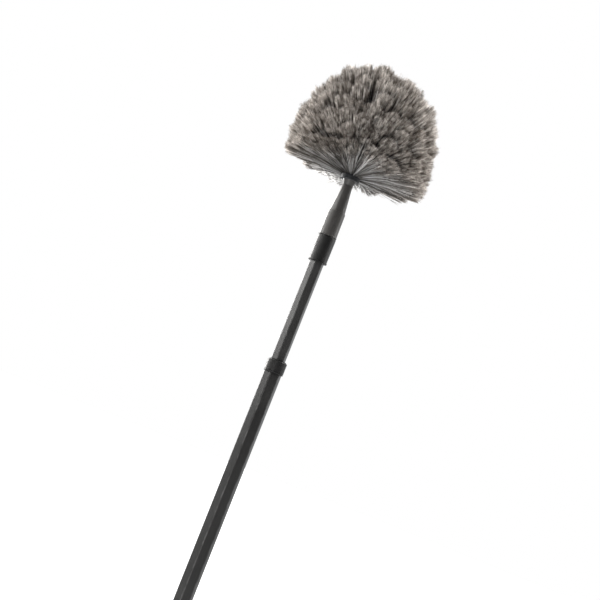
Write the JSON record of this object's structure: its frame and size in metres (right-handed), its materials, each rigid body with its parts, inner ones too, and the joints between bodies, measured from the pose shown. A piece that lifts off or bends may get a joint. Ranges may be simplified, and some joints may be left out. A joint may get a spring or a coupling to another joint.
{
  "type": "telescopic feather duster",
  "caption": "Duster with a dome of split-tip bristle tufts on a tapered neck, screwed to a telescopic pole of hexagonal tube with a turning lock collar and a hand grip.",
  "frame": {"origin": "middle of the hand grip, on the pole's axis", "axes": "+Z along the pole from the grip to the bristle head; +Y along the hanging hole and through two opposite corners of the hexagonal tubes; +X square to both"},
  "size_m": [0.2, 0.1992, 1.1072],
  "materials": {
    "tube_metal": "satin",
    "black_plastic": "satin",
    "grey_plastic": "satin",
    "hub_plastic": "matte",
    "bristle": "matte",
    "grip_rubber": "matte",
    "washer_rubber": "matte",
    "steel": "satin"
  },
  "bodies": {
    "lower_pole": {"lower_tube": "tube_metal", "grip": "grip_rubber", "end_cap": "black_plastic", "cap_pin": "steel", "lock_collet": "black_plastic"},
    "lock_ring": {"lock_collar": "black_plastic"},
    "upper_pole": {"upper_tube": "tube_metal", "slide_bush": "black_plastic", "threaded_insert": "black_plastic", "tip_pin": "steel", "tip_sleeve": "black_plastic"},
    "washer": {"thrust_washer": "washer_rubber"},
    "head": {"head_socket": "grey_plastic", "neck": "grey_plastic", "core_screw": "steel", "brush_hub": "hub_plastic", "tuft_anchors": "steel", "tuft_ring_1": "bristle", "tuft_ring_2": "bristle", "tuft_ring_3": "bristle", "tuft_ring_4": "bristle", "tuft_ring_5": "bristle", "tuft_ring_6": "bristle", "tuft_ring_7": "bristle", "tuft_ring_8": "bristle", "tuft_ring_9": "bristle", "tuft_crown": "bristle"}
  },
  "joints": [
    {"name": "pole_extend", "type": "slide", "parent": "lower_pole", "child": "upper_pole", "axis": [0, 0, 1], "range_m": [-0.13, 0.38]},
    {"name": "collar_turn", "type": "hinge", "parent": "lower_pole", "child": "lock_ring", "pos_m": [0, 0, 0.585], "axis": [0, 0, 1], "range_deg": [0, 60]},
    {"name": "head_rise", "type": "slide", "parent": "upper_pole", "child": "washer", "axis": [0, 0, 1], "range_m": [0, 0.0161]},
    {"name": "head_turn", "type": "hinge", "parent": "washer", "child": "head", "pos_m": [0, 0, 0.79], "axis": [0, 0, 1], "range_deg": [0, 1440]}
  ],
  "couplings": [
    {"joint": "head_rise", "follows": "head_turn", "m_per_rad": 0.00063662}
  ]
}
